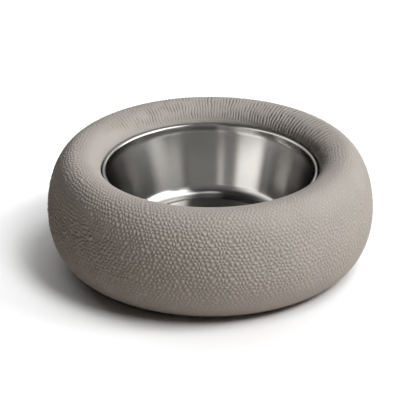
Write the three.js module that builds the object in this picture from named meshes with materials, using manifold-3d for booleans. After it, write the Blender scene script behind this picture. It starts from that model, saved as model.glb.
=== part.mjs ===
// Elevated pet feeder: a steel bowl that hangs by its rolled rim in a puffy, ring-shaped base.
// Millimetres, +Z up. The origin is on the floor, at the middle of the feet.
import * as THREE from "three";
import { mergeVertices } from "three/addons/utils/BufferGeometryUtils.js";
import Module from "manifold-3d";

const wasm = await Module();
wasm.setup();

// Driving sizes of the cover, the puffy outer moulding
const OPENING_RADIUS = 80; // inner edge of the cover, round the bowl's rim
const ROLL_WIDTH = 17.7; // from the opening out to the crown
const ROLL_DEPTH = 14.3; // from the crown down to the bowl's rim
const SIDE_BULGE = 22.3; // from the crown out to the widest point
const EQUATOR_HEIGHT = 39; // height of the widest point above the floor
const COVER_WALL = 3.5;
const UPPER_LIP_WALL = 2.7; // behind the groove that grips the frame
const LOWER_LIP_THICKNESS = 3; // turned-in lip, held between plate and frame
const LOWER_LIP_WIDTH = 5.4;
const HOOK_DEPTH = 2; // how far the upper lip reaches under the frame's seat flange
const HOOK_THICKNESS = 3;
const EDGE_WIDTH = 1.5; // bottom edge of the cover, outside the base plate
const EDGE_REVEAL = 0.3; // how far that edge stands below the plate

// Driving sizes of the bowl
const BOWL_DEPTH = 50.5; // from the rim's bead to the lowest ring of the floor
const BOWL_SHEET = 0.9;
const RIM_BEAD_RADIUS = 1.5;
const RIM_CURL_END_DEG = -85; // where the rolled edge stops, below the bead's middle
const COLLAR_HEIGHT = 4; // upright band under the rim
const WALL_TAPER_DEG = 15;
const FLOOR_FILLET = 9.5;
const TROUGH_WIDTH = 1.5; // flat ring between the fillet and the raised floor
const FLOOR_STEP = 1.2; // how far the middle of the floor stands up
const FLOOR_STEP_WIDTH = 3;

// Driving sizes of the frame, plate, ring, feet and screws
const FRAME_WALL = 2.5;
const SEAT_FLANGE_OVERLAP = 5; // how far the seat flange reaches under the cover
const SEAT_RING_THICKNESS = 1.3;
const BOSS_RADIUS = 4.2;
const BOSS_STANDOFF = 0.9; // between the well tube and a screw boss
const BOSS_CAP = 3; // plastic above a screw's blind hole
const RIB_THICKNESS = 2.5;
const PLATE_THICKNESS = 2.5;
const DISH_RISE = 2; // how far the middle of the plate stands up
const DISH_MARGIN = 6; // from the foot pads in to the dish
const DISH_SLOPE_WIDTH = 4;
const UNDER_BOWL_CLEARANCE = 13; // from the plate's rim up to the bowl's underside
const FOOT_HEIGHT = 1.8; // from the floor up to the plate
const FOOT_PAD_RADIUS = 7;
const FOOT_PAD_CHAMFER = 0.7;
const FOOT_NECK_RADIUS = 2.8;
const FOOT_HEAD_RADIUS = 4.2;
const FOOT_HEAD_HEIGHT = 1.8;
const SCREW_RADIUS = 2;
const SCREW_LENGTH = 16;
const SCREW_HEAD_RADIUS = 3.8;
const SCREW_HEAD_LAND = 0.3;
const SCREW_TIP = 2;
const RECESS_LENGTH = 4.2; // cross recess in a screw's head
const RECESS_WIDTH = 0.9;
const RECESS_DEPTH = 1.1;
const FASTENER_COUNT = 6; // screws, and as many feet between them

// Clearances
const SEAT_GAP = 0.2; // between pieces that rest on or clamp one another
const RIM_GAP = 0.7; // shadow gap between the bowl's bead and the cover
const WELL_CLEARANCE = 0.7; // between the bowl's collar and the well tube
const EDGE_CLEARANCE = 0.3; // round the plate, the seat flange and the seat ring
const LIP_CLEARANCE = 0.6; // between the cover's lower lip and the bosses or feet
const HOLE_CLEARANCE = 0.3; // round screws and feet
const RIB_CLEARANCE = 3; // between a rib and the cover's upper lip

// How finely round shapes are cut into flats
const RING_SEGMENTS = 48;
const OUTER_ARC_STEPS = 6;
const CAVITY_ARC_STEPS = 3;
const FILLET_STEPS = 4;
const CURL_STEPS = 6;
const FOOT_SEGMENTS = 12;
const SCREW_SEGMENTS = 8;
const BOSS_SEGMENTS = 12;
const CUT_OVERRUN = 1; // how far a cutter runs past the faces that it cuts
const JOIN_OVERLAP = 1; // how far a rib or boss is sunk into what it joins

// Radii, from the opening inwards to the bowl and outwards to the cover
const rimRadius = OPENING_RADIUS - RIM_GAP;
const bowlInnerRadius = rimRadius - 2 * RIM_BEAD_RADIUS;
const bowlOuterRadius = bowlInnerRadius + BOWL_SHEET;
const tubeInnerRadius = bowlOuterRadius + WELL_CLEARANCE;
const tubeOuterRadius = tubeInnerRadius + FRAME_WALL;
const seatFlangeRadius = OPENING_RADIUS + SEAT_FLANGE_OVERLAP;
const grooveRadius = seatFlangeRadius + EDGE_CLEARANCE;
const upperLipRadius = grooveRadius + UPPER_LIP_WALL;
const postRadius = Math.max(BOSS_RADIUS, FOOT_HEAD_RADIUS);
const fastenerCircle = tubeOuterRadius + BOSS_STANDOFF + postRadius;
const lowerLipRadius = fastenerCircle + postRadius + LIP_CLEARANCE;
const plateRadius = lowerLipRadius + LOWER_LIP_WIDTH;
const recessRadius = plateRadius + EDGE_CLEARANCE;
const baseRadius = recessRadius + EDGE_WIDTH;
const crownRadius = OPENING_RADIUS + ROLL_WIDTH;
const outerRadius = crownRadius + SIDE_BULGE;
const dishRadius = fastenerCircle - FOOT_PAD_RADIUS - DISH_MARGIN;

// Heights, from the floor upwards
const plateBottom = FOOT_HEIGHT;
const plateTop = plateBottom + PLATE_THICKNESS;
const coverBottom = plateBottom - EDGE_REVEAL;
const tubeBottom = plateTop + SEAT_GAP;
const lowerLipBottom = plateTop + SEAT_GAP;
const lowerLipTop = lowerLipBottom + LOWER_LIP_THICKNESS;
const baseFlangeBottom = lowerLipTop + SEAT_GAP;
const baseFlangeTop = baseFlangeBottom + FRAME_WALL;
const bowlFloor = plateTop + UNDER_BOWL_CLEARANCE + BOWL_SHEET;
const rimHeight = bowlFloor + BOWL_DEPTH;
const crownHeight = rimHeight + ROLL_DEPTH;
const seatRingTop = rimHeight - RIM_BEAD_RADIUS - SEAT_GAP;
const seatRingBottom = seatRingTop - SEAT_RING_THICKNESS;
const seatFlangeTop = seatRingBottom - SEAT_GAP;
const seatFlangeBottom = seatFlangeTop - FRAME_WALL;
const hookTop = seatFlangeBottom - SEAT_GAP;
const hookBottom = hookTop - HOOK_THICKNESS;

// Finishes
const coverFinish = new THREE.MeshStandardMaterial({ color: 0x9b938b, roughness: 0.85, metalness: 0 });
const steelFinish = new THREE.MeshStandardMaterial({ color: 0xc4c4c2, roughness: 0.3, metalness: 1 });
const frameFinish = new THREE.MeshStandardMaterial({ color: 0x4a4744, roughness: 0.6, metalness: 0 });
const plateFinish = new THREE.MeshStandardMaterial({ color: 0x5b5753, roughness: 0.6, metalness: 0 });
const siliconeFinish = new THREE.MeshStandardMaterial({ color: 0x3a3836, roughness: 0.7, metalness: 0 });
const footFinish = new THREE.MeshStandardMaterial({ color: 0x2b2a29, roughness: 0.9, metalness: 0 });
const screwFinish = new THREE.MeshStandardMaterial({ color: 0xa9a9a6, roughness: 0.35, metalness: 1 });

// One corner of a profile, as radius and height.
function corner(radius, height) {
  return new THREE.Vector2(radius, height);
}

// Points along an ellipse's arc in a profile. It runs clockwise where the angle falls.
function arc(centre, halfWidth, halfHeight, startDeg, endDeg, steps) {
  const start = THREE.MathUtils.degToRad(startDeg);
  const end = THREE.MathUtils.degToRad(endDeg);
  const clockwise = endDeg < startDeg;
  return new THREE.EllipseCurve(centre.x, centre.y, halfWidth, halfHeight, start, end, clockwise).getPoints(steps);
}

// A closed profile, listed counter-clockwise, turned about the Z axis.
function turned(profile, segments) {
  const points = profile.filter((p, i) => i === 0 || p.distanceTo(profile[i - 1]) > 1e-6);
  const first = points[0];
  const last = points[points.length - 1];
  const onAxis = Math.abs(first.x) < 1e-6 && Math.abs(last.x) < 1e-6;
  if (!onAxis && first.distanceTo(last) > 1e-6) points.push(first.clone());
  return new THREE.LatheGeometry(points, segments).rotateX(Math.PI / 2);
}

// A geometry as a solid that can be joined and cut.
function solid(geometry) {
  const bare = geometry.clone();
  bare.deleteAttribute("normal");
  bare.deleteAttribute("uv");
  const merged = mergeVertices(bare, 1e-4);
  const vertProperties = merged.getAttribute("position").array;
  const triVerts = new Uint32Array(merged.index.array);
  return new wasm.Manifold(new wasm.Mesh({ numProp: 3, vertProperties, triVerts }));
}

// A joined or cut solid as a geometry again.
function geometryOf(made) {
  const mesh = made.getMesh();
  const geometry = new THREE.BufferGeometry();
  geometry.setAttribute("position", new THREE.BufferAttribute(mesh.vertProperties, 3));
  geometry.setIndex(new THREE.BufferAttribute(mesh.triVerts, 1));
  return geometry;
}

// A geometry moved out along X and then turned about the Z axis.
function onCircle(geometry, radius, height, angle) {
  return geometry.clone().translate(radius, 0, height).rotateZ(angle);
}

// An upright cylinder that stands on the XY plane.
function post(radius, height, segments) {
  return new THREE.CylinderGeometry(radius, radius, height, segments).rotateX(Math.PI / 2).translate(0, 0, height / 2);
}

const screwAngles = Array.from({ length: FASTENER_COUNT }, (_, i) => (i * 2 * Math.PI) / FASTENER_COUNT);
const footAngles = screwAngles.map((angle) => angle + Math.PI / FASTENER_COUNT);

// The cover: hollow, with a grooved lip at the opening and a turned-in lip at the bottom.
function coverGeometry() {
  const sideInnerRadius = outerRadius - COVER_WALL;
  const profile = [
    corner(recessRadius, coverBottom),
    corner(baseRadius, coverBottom),
    ...arc(
      corner(baseRadius, EQUATOR_HEIGHT),
      outerRadius - baseRadius,
      EQUATOR_HEIGHT - coverBottom,
      -90,
      0,
      OUTER_ARC_STEPS,
    ),
    ...arc(corner(crownRadius, EQUATOR_HEIGHT), SIDE_BULGE, crownHeight - EQUATOR_HEIGHT, 0, 90, OUTER_ARC_STEPS),
    ...arc(corner(crownRadius, rimHeight), ROLL_WIDTH, ROLL_DEPTH, 90, 180, OUTER_ARC_STEPS),
    corner(OPENING_RADIUS, seatFlangeTop + SEAT_GAP),
    corner(grooveRadius, seatFlangeTop + SEAT_GAP),
    corner(grooveRadius, hookTop),
    corner(seatFlangeRadius - HOOK_DEPTH, hookTop),
    corner(seatFlangeRadius - HOOK_DEPTH, hookBottom),
    corner(upperLipRadius, hookBottom),
    ...arc(
      corner(crownRadius, rimHeight),
      crownRadius - upperLipRadius,
      ROLL_DEPTH - COVER_WALL,
      180,
      90,
      CAVITY_ARC_STEPS,
    ),
    ...arc(
      corner(crownRadius, EQUATOR_HEIGHT),
      sideInnerRadius - crownRadius,
      crownHeight - COVER_WALL - EQUATOR_HEIGHT,
      90,
      0,
      CAVITY_ARC_STEPS,
    ),
    ...arc(
      corner(baseRadius, EQUATOR_HEIGHT),
      sideInnerRadius - baseRadius,
      EQUATOR_HEIGHT - lowerLipTop,
      0,
      -90,
      CAVITY_ARC_STEPS,
    ),
    corner(lowerLipRadius, lowerLipTop),
    corner(lowerLipRadius, lowerLipBottom),
    corner(recessRadius, lowerLipBottom),
  ];
  return turned(profile, RING_SEGMENTS);
}

// One face of the bowl's sheet, from the middle of the floor to the rim. The outer face lies one sheet further out.
function bowlFace(offset) {
  const taper = THREE.MathUtils.degToRad(WALL_TAPER_DEG);
  const collarBottom = rimHeight - COLLAR_HEIGHT;
  const filletHeight = bowlFloor + FLOOR_FILLET;
  const wallAtFillet = bowlInnerRadius - (collarBottom - filletHeight) * Math.tan(taper);
  const filletRadius = wallAtFillet - FLOOR_FILLET / Math.cos(taper);
  const stepRadius = filletRadius - TROUGH_WIDTH;
  const bend = FLOOR_FILLET + offset;
  return [
    corner(0, bowlFloor + FLOOR_STEP - offset),
    corner(stepRadius - FLOOR_STEP_WIDTH, bowlFloor + FLOOR_STEP - offset),
    corner(stepRadius, bowlFloor - offset),
    ...arc(corner(filletRadius, filletHeight), bend, bend, -90, -WALL_TAPER_DEG, FILLET_STEPS),
    corner(bowlInnerRadius + offset, collarBottom - offset * Math.tan(taper / 2)),
  ];
}

// The bowl: one drawn sheet whose edge is rolled outwards and down into an open bead.
function bowlGeometry() {
  const beadCentre = corner(bowlInnerRadius + RIM_BEAD_RADIUS, rimHeight);
  const curlRadius = RIM_BEAD_RADIUS - BOWL_SHEET;
  const profile = [
    ...bowlFace(BOWL_SHEET),
    ...arc(beadCentre, curlRadius, curlRadius, 180, RIM_CURL_END_DEG, CURL_STEPS),
    ...arc(beadCentre, RIM_BEAD_RADIUS, RIM_BEAD_RADIUS, RIM_CURL_END_DEG, 180, CURL_STEPS),
    ...bowlFace(0).reverse(),
  ];
  return turned(profile, RING_SEGMENTS);
}

// The seat ring that keeps the bowl's bead off the frame, with its four edges cut off.
function seatRingGeometry() {
  const innerRadius = tubeInnerRadius + EDGE_CLEARANCE;
  const ringRadius = OPENING_RADIUS - EDGE_CLEARANCE;
  const edge = Math.min(ringRadius - innerRadius, SEAT_RING_THICKNESS) / 4;
  const profile = [
    corner(innerRadius + edge, seatRingBottom),
    corner(ringRadius - edge, seatRingBottom),
    corner(ringRadius, seatRingBottom + edge),
    corner(ringRadius, seatRingTop - edge),
    corner(ringRadius - edge, seatRingTop),
    corner(innerRadius + edge, seatRingTop),
    corner(innerRadius, seatRingTop - edge),
    corner(innerRadius, seatRingBottom + edge),
  ];
  return turned(profile, RING_SEGMENTS);
}

// The frame: a well tube with a seat flange above, a clamping flange below, and ribbed screw bosses.
function frameGeometry() {
  const tube = turned(
    [
      corner(tubeInnerRadius, tubeBottom),
      corner(tubeOuterRadius, tubeBottom),
      corner(tubeOuterRadius, baseFlangeBottom),
      corner(plateRadius, baseFlangeBottom),
      corner(plateRadius, baseFlangeTop),
      corner(tubeOuterRadius, baseFlangeTop),
      corner(tubeOuterRadius, seatFlangeBottom),
      corner(seatFlangeRadius, seatFlangeBottom),
      corner(seatFlangeRadius, seatFlangeTop),
      corner(tubeInnerRadius, seatFlangeTop),
    ],
    RING_SEGMENTS,
  );
  const holeRadius = SCREW_RADIUS + HOLE_CLEARANCE;
  const holeTop = plateBottom + SCREW_LENGTH + CUT_OVERRUN;
  const boss = post(BOSS_RADIUS, holeTop + BOSS_CAP - tubeBottom, BOSS_SEGMENTS);
  const hole = post(holeRadius, holeTop - tubeBottom + CUT_OVERRUN, BOSS_SEGMENTS);
  const ribStart = tubeOuterRadius - JOIN_OVERLAP;
  const ribEnd = fastenerCircle + BOSS_RADIUS;
  const ribBottom = baseFlangeTop - JOIN_OVERLAP;
  const ribTop = hookBottom - RIB_CLEARANCE;
  const rib = new THREE.BoxGeometry(ribEnd - ribStart, RIB_THICKNESS, ribTop - ribBottom);
  let frame = solid(tube);
  for (const angle of screwAngles) {
    frame = frame.add(solid(onCircle(boss, fastenerCircle, tubeBottom, angle)));
    frame = frame.add(solid(onCircle(rib, (ribStart + ribEnd) / 2, (ribBottom + ribTop) / 2, angle)));
  }
  for (const angle of screwAngles) {
    frame = frame.subtract(solid(onCircle(hole, fastenerCircle, tubeBottom - CUT_OVERRUN, angle)));
  }
  return geometryOf(frame);
}

// The outline of a countersunk screw, or of the hole for it, from the face of the head upwards.
function screwProfile(clearance, length, tip) {
  const headRadius = SCREW_HEAD_RADIUS + clearance;
  const shankRadius = SCREW_RADIUS + clearance;
  return [
    corner(0, 0),
    corner(headRadius, 0),
    corner(headRadius, SCREW_HEAD_LAND),
    corner(shankRadius, SCREW_HEAD_LAND + headRadius - shankRadius),
    corner(shankRadius, length - tip),
    corner(0, length),
  ];
}

// The base plate: a disc with a raised middle, holed for the screws and the feet.
function plateGeometry() {
  const slopeEnd = dishRadius - DISH_SLOPE_WIDTH;
  const disc = turned(
    [
      corner(0, plateBottom + DISH_RISE),
      corner(slopeEnd, plateBottom + DISH_RISE),
      corner(dishRadius, plateBottom),
      corner(plateRadius, plateBottom),
      corner(plateRadius, plateTop),
      corner(dishRadius, plateTop),
      corner(slopeEnd, plateTop + DISH_RISE),
      corner(0, plateTop + DISH_RISE),
    ],
    RING_SEGMENTS,
  );
  const through = PLATE_THICKNESS + 2 * CUT_OVERRUN;
  const screwHole = turned(screwProfile(HOLE_CLEARANCE, through, 0), SCREW_SEGMENTS);
  const headRelief = post(SCREW_HEAD_RADIUS + HOLE_CLEARANCE, 2 * CUT_OVERRUN, SCREW_SEGMENTS);
  const footHole = post(FOOT_NECK_RADIUS + HOLE_CLEARANCE, through, FOOT_SEGMENTS);
  let plate = solid(disc);
  for (const angle of screwAngles) {
    plate = plate.subtract(solid(onCircle(screwHole, fastenerCircle, plateBottom, angle)));
    plate = plate.subtract(solid(onCircle(headRelief, fastenerCircle, plateBottom - 2 * CUT_OVERRUN, angle)));
  }
  for (const angle of footAngles) {
    plate = plate.subtract(solid(onCircle(footHole, fastenerCircle, plateBottom - CUT_OVERRUN, angle)));
  }
  return geometryOf(plate);
}

// A screw with its head down and a cross recess in the head.
function screwGeometry() {
  let screw = solid(turned(screwProfile(0, SCREW_LENGTH, SCREW_TIP), SCREW_SEGMENTS));
  for (const angle of [0, Math.PI / 2]) {
    const slot = new THREE.BoxGeometry(RECESS_LENGTH, RECESS_WIDTH, 2 * RECESS_DEPTH).rotateZ(angle);
    screw = screw.subtract(solid(slot));
  }
  return geometryOf(screw);
}

// A push-in foot: a pad under the plate, a neck through it and a head that holds it from above.
function footGeometry() {
  const padTop = FOOT_HEIGHT - SEAT_GAP;
  const headBottom = plateTop + SEAT_GAP;
  const headTop = headBottom + FOOT_HEAD_HEIGHT;
  const profile = [
    corner(0, 0),
    corner(FOOT_PAD_RADIUS - FOOT_PAD_CHAMFER, 0),
    corner(FOOT_PAD_RADIUS, FOOT_PAD_CHAMFER),
    corner(FOOT_PAD_RADIUS, padTop),
    corner(FOOT_NECK_RADIUS, padTop),
    corner(FOOT_NECK_RADIUS, headBottom),
    corner(FOOT_HEAD_RADIUS, headBottom),
    corner(FOOT_NECK_RADIUS, headTop),
    corner(0, headTop),
  ];
  return turned(profile, FOOT_SEGMENTS);
}

// A named mesh.
function piece(name, geometry, finish) {
  const mesh = new THREE.Mesh(geometry, finish);
  mesh.name = name;
  return mesh;
}

// Copies of a piece round the fastener circle, each in its own turned group.
function ringOf(name, geometry, finish, angles, height) {
  return angles.map((angle, i) => {
    const copy = piece(`${name}_${i + 1}`, geometry, finish);
    copy.position.set(fastenerCircle, 0, height);
    const spoke = new THREE.Group();
    spoke.rotation.z = angle;
    spoke.add(copy);
    return spoke;
  });
}

const feeder = new THREE.Group();
feeder.name = "elevated_pet_feeder";
feeder.add(
  piece("body_cover", coverGeometry(), coverFinish),
  piece("well_frame", frameGeometry(), frameFinish),
  piece("base_plate", plateGeometry(), plateFinish),
  piece("seat_ring", seatRingGeometry(), siliconeFinish),
  piece("bowl", bowlGeometry(), steelFinish),
  ...ringOf("base_screw", screwGeometry(), screwFinish, screwAngles, plateBottom),
  ...ringOf("foot", footGeometry(), footFinish, footAngles, 0),
);

export default feeder;
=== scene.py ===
"""Elevated pet feeder: a brushed steel bowl in a puffy, pebble-grained ring base.

Metres, +Z up. The origin is on the floor, on the bowl's axis. Every piece is turned about that axis
or repeated round it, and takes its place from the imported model's nodes.
"""

import logging
import math
from dataclasses import dataclass
from enum import Enum
from typing import Any, ClassVar, Protocol, Self

import bpy
import numpy as np
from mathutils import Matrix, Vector

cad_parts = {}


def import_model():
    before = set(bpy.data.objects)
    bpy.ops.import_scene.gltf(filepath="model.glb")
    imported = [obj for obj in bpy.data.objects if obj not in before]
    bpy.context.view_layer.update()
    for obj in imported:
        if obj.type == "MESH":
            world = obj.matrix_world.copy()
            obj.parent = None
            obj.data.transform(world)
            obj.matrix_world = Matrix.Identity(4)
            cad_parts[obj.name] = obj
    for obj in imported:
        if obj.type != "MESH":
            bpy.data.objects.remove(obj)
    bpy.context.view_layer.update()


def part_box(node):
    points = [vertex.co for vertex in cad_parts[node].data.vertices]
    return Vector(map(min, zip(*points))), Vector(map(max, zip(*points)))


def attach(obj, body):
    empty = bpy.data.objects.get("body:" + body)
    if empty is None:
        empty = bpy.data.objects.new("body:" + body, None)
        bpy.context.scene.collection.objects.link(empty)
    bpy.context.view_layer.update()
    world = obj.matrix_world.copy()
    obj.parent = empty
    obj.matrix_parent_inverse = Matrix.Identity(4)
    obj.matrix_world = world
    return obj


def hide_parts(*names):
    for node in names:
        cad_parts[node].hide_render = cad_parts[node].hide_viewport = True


log = logging.getLogger("pet_feeder")

MM = 0.001
FULL_TURN = 2.0 * math.pi
AXIS_TOLERANCE = 1e-7

# Fine steps to each step of an arc, to measure its length
ARC_FINENESS = 60

# Screws in their ring, with as many feet between them
FASTENERS = 6

# The stretch that holds nearly all values of a noise texture
NOISE_LOW = 0.3
NOISE_HIGH = 0.7
NOISE_MIDDLE = (0.5, 0.5, 0.5)

# Levels of detail in a noise texture
PLAIN_DETAIL = 1.0
SOFT_DETAIL = 2.0
MEDIUM_DETAIL = 3.0
FINE_DETAIL = 4.0

Colour = tuple[float, float, float]
Place = tuple[float, float]
Socket = bpy.types.NodeSocket


class Body(Enum):
    """The bodies that the pieces move with."""

    BASE = "base"
    SEAT = "seat"
    BOWL = "bowl"


class Slot(Enum):
    """The record's material slots."""

    COVER = "cover_grained"
    BOWL = "bowl_steel"
    FRAME = "frame_plastic"
    PLATE = "plate_plastic"
    SEAT = "seat_silicone"
    FOOT = "foot_rubber"
    SCREW = "screw_steel"


# Sections and turned meshes


def ellipse_arc(centre: Place, half_width: float, half_height: float, start_deg: float, end_deg: float,
                steps: int) -> list[Place]:
    """Places points at even distances along an ellipse's arc.

    Args:
        centre: The ellipse's middle, as radius and height.
        half_width: Half of its width.
        half_height: Half of its height.
        start_deg: Angle of the first point.
        end_deg: Angle of the last point; the arc runs clockwise where it is the smaller one.
        steps: Number of stretches between points.

    Returns:
        The points, both ends included.
    """
    angles = np.radians(np.linspace(start_deg, end_deg, ARC_FINENESS * steps + 1))
    radius = centre[0] + half_width * np.cos(angles)
    height = centre[1] + half_height * np.sin(angles)
    travelled = np.concatenate(([0.0], np.cumsum(np.hypot(np.diff(radius), np.diff(height)))))
    even = np.linspace(0.0, travelled[-1], steps + 1)
    return list(zip(np.interp(even, travelled, radius), np.interp(even, travelled, height)))


class Section:
    """A section in the plane of radius and height, listed counter-clockwise, to be turned about Z."""

    EASE_STEPS = 4
    # In eases: a flat longer than the first gets a point at the second, which keeps it flat
    LONG_FLAT = 3.0
    FLAT_POINT = 1.5

    def __init__(self, *corners: tuple[float, ...]) -> None:
        """Starts a section.

        Args:
            corners: Its first corners, each a tuple of the arguments of corner.
        """
        self.corners: list[tuple[Place, float]] = []
        for corner in corners:
            self.corner(*corner)

    def corner(self, radius: float, height: float, ease: float = 0.0) -> None:
        """Adds a corner.

        Args:
            radius: Distance from the axis.
            height: Height above the floor.
            ease: How far back from the corner its rounding starts; 0 leaves it sharp.
        """
        self.corners.append(((radius, height), ease))

    def arc(self, centre: Place, half_width: float, half_height: float, start_deg: float, end_deg: float,
            steps: int) -> None:
        """Adds an ellipse's arc; the arguments are those of ellipse_arc."""
        for place in ellipse_arc(centre, half_width, half_height, start_deg, end_deg, steps):
            self.corner(*place)

    def outline(self) -> np.ndarray:
        """Lists the section's points, with each eased corner as a short curve.

        Returns:
            The points in order, a row of radius and height for each.
        """
        points: list[np.ndarray] = []
        count = len(self.corners)
        for index, (place, ease) in enumerate(self.corners):
            here = np.array(place)
            if ease == 0.0:
                points.append(here)
                continue
            before = np.array(self.corners[index - 1][0])
            after = np.array(self.corners[(index + 1) % count][0])
            points.extend(self._eased(before, here, after, ease))
        kept = [points[0]]
        kept.extend(b for a, b in zip(points, points[1:]) if np.linalg.norm(b - a) > AXIS_TOLERANCE)
        return np.array(kept)

    def _eased(self, before: np.ndarray, here: np.ndarray, after: np.ndarray,
               ease: float) -> list[np.ndarray]:
        """Rounds one corner with a parabola between two points at the ease's distance from it.

        Args:
            before: The corner before it.
            here: The corner itself.
            after: The corner after it.
            ease: How far back from the corner the curve starts and ends.

        Returns:
            The curve's points, with one more beside each end that has a long flat.
        """
        back = (before - here) / np.linalg.norm(before - here)
        onward = (after - here) / np.linalg.norm(after - here)
        curve = []
        if np.linalg.norm(before - here) > self.LONG_FLAT * ease:
            curve.append(here + back * ease * self.FLAT_POINT)
        for t in np.linspace(0.0, 1.0, self.EASE_STEPS + 1):
            curve.append(here + back * ease * (1.0 - t) ** 2 + onward * ease * t ** 2)
        if np.linalg.norm(after - here) > self.LONG_FLAT * ease:
            curve.append(here + onward * ease * self.FLAT_POINT)
        return curve


def turned_mesh(name: str, outline: np.ndarray, segments: int) -> bpy.types.Mesh:
    """Turns a section about Z into a closed, smooth mesh.

    Args:
        name: The mesh's name.
        outline: The section's points; it starts and ends on the axis or closes on itself.
        segments: Number of flats round the axis.

    Returns:
        A mesh with a UV map (turn, share of the way along the section) and a point attribute
        "along", the distance along the section in metres.
    """
    poles = bool(outline[0, 0] < AXIS_TOLERANCE and outline[-1, 0] < AXIS_TOLERANCE)
    along = np.concatenate(([0.0], np.cumsum(np.hypot(*np.diff(outline, axis=0).T))))
    angles = np.arange(segments) * (FULL_TURN / segments)
    rings = outline[1:-1] if poles else outline
    ring_along = along[1:-1] if poles else along
    x = np.outer(rings[:, 0], np.cos(angles)).ravel()
    y = np.outer(rings[:, 0], np.sin(angles)).ravel()
    places = np.column_stack((x, y, np.repeat(rings[:, 1], segments)))
    place_along = np.repeat(ring_along, segments)
    count = len(rings)
    here = np.arange(segments)
    beside = (here + 1) % segments
    lower = np.arange(count - 1 if poles else count)
    upper = (lower + 1) % count
    quads = np.stack((lower[:, None] * segments + here, lower[:, None] * segments + beside,
                      upper[:, None] * segments + beside, upper[:, None] * segments + here), axis=-1)
    faces: list[list[int]] = quads.reshape(-1, 4).tolist()
    turns = np.tile(np.column_stack((here, here + 1, here + 1, here)) / segments, (len(lower), 1))
    turn_list: list[float] = turns.ravel().tolist()
    if poles:
        first, last = len(places), len(places) + 1
        places = np.vstack((places, [0.0, 0.0, outline[0, 1]], [0.0, 0.0, outline[-1, 1]]))
        place_along = np.concatenate((place_along, [along[0], along[-1]]))
        top = (count - 1) * segments
        for a, b in zip(here.tolist(), beside.tolist()):
            faces.append([first, b, a])
            turn_list.extend(((a + 0.5) / segments, (a + 1) / segments, a / segments))
        for a, b in zip(here.tolist(), beside.tolist()):
            faces.append([last, top + a, top + b])
            turn_list.extend(((a + 0.5) / segments, a / segments, (a + 1) / segments))
    mesh = bpy.data.meshes.new(name)
    mesh.from_pydata(places.tolist(), [], faces)
    mesh.update()
    corner_vertex = np.empty(len(mesh.loops), dtype=np.int32)
    mesh.loops.foreach_get("vertex_index", corner_vertex)
    share = place_along[corner_vertex] / along[-1]
    layer = mesh.uv_layers.new(name="turned")
    layer.uv.foreach_set("vector", np.column_stack((turn_list, share)).astype(np.float32).ravel())
    attribute = mesh.attributes.new("along", "FLOAT", "POINT")
    attribute.data.foreach_set("value", place_along.astype(np.float32))
    mesh.polygons.foreach_set("use_smooth", np.ones(len(mesh.polygons), dtype=bool))
    return mesh


# Node trees


class Graph:
    """Adds nodes to a tree and links them."""

    def __init__(self, tree: bpy.types.NodeTree) -> None:
        """Keeps the tree that the nodes go into."""
        self.tree = tree

    def add(self, kind: str, inputs: dict[str | int, Any] | None = None, **settings: Any) -> bpy.types.Node:
        """Adds a node.

        Args:
            kind: The node's type name.
            inputs: Values or sockets for its inputs, by name or number.
            settings: Values for its own properties.

        Returns:
            The node.
        """
        node = self.tree.nodes.new(kind)
        for name, value in settings.items():
            setattr(node, name, value)
        for name, value in (inputs or {}).items():
            self.feed(node.inputs[name], value)
        return node

    def feed(self, target: Socket, value: Any) -> None:
        """Links a socket to another one, or sets its value.

        Args:
            target: The socket that is fed.
            value: A socket to link it to, or a plain value.
        """
        if isinstance(value, bpy.types.NodeSocket):
            self.tree.links.new(value, target)
        else:
            target.default_value = value

    def math(self, operation: str, first: Any, second: Any = 0.0) -> Socket:
        """Adds a Math node and gives its result."""
        return self.add("ShaderNodeMath", {0: first, 1: second}, operation=operation).outputs[0]

    def vector(self, operation: str, first: Any, second: Any) -> Socket:
        """Adds a Vector Math node and gives its vector."""
        return self.add("ShaderNodeVectorMath", {0: first, 1: second}, operation=operation).outputs[0]

    def kept(self, name: str) -> Socket:
        """Reads a number that the mesh holds under a name."""
        raise NotImplementedError

    def parts(self, vector: Any) -> Any:
        """Gives the parts of a vector, by the names X, Y and Z."""
        return self.add("ShaderNodeSeparateXYZ", {0: vector}).outputs

    def joined(self, x: Any = 0.0, y: Any = 0.0, z: Any = 0.0) -> Socket:
        """Makes a vector of its parts."""
        return self.add("ShaderNodeCombineXYZ", {"X": x, "Y": y, "Z": z}).outputs[0]

    def scaled(self, vector: Any, factor: Any) -> Socket:
        """Gives a vector times a factor."""
        inputs = {0: vector, "Scale": factor}
        return self.add("ShaderNodeVectorMath", inputs, operation="SCALE").outputs[0]

    def ramp(self, value: Any, start: Any, end: Any, low: Any = 0.0, high: Any = 1.0) -> Socket:
        """Gives a value carried smoothly from low to high as it goes from start to end."""
        inputs = {"Value": value, "From Min": start, "From Max": end, "To Min": low, "To Max": high}
        return self.add("ShaderNodeMapRange", inputs, interpolation_type="SMOOTHSTEP").outputs[0]

    def blend(self, share: Any, first: Any, second: Any) -> Socket:
        """Mixes two numbers by a share."""
        return self.add("ShaderNodeMix", {0: share, 2: first, 3: second}, data_type="FLOAT").outputs[0]

    def tint(self, share: Any, first: Any, second: Any) -> Socket:
        """Mixes two colours by a share."""
        return self.add("ShaderNodeMix", {0: share, 6: first, 7: second}, data_type="RGBA").outputs[2]

    def noise(self, vector: Any, scale: Any, detail: float) -> bpy.types.Node:
        """Adds a noise texture."""
        return self.add("ShaderNodeTexNoise", {"Vector": vector, "Scale": scale, "Detail": detail})

    def cells(self, vector: Any, scale: Any, softness: float) -> Socket:
        """Gives the distance to the middle of the nearest cell of a soft cell pattern."""
        inputs = {"Vector": vector, "Scale": scale, "Smoothness": softness, "Randomness": 1.0}
        return self.add("ShaderNodeTexVoronoi", inputs, feature="SMOOTH_F1").outputs["Distance"]


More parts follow.
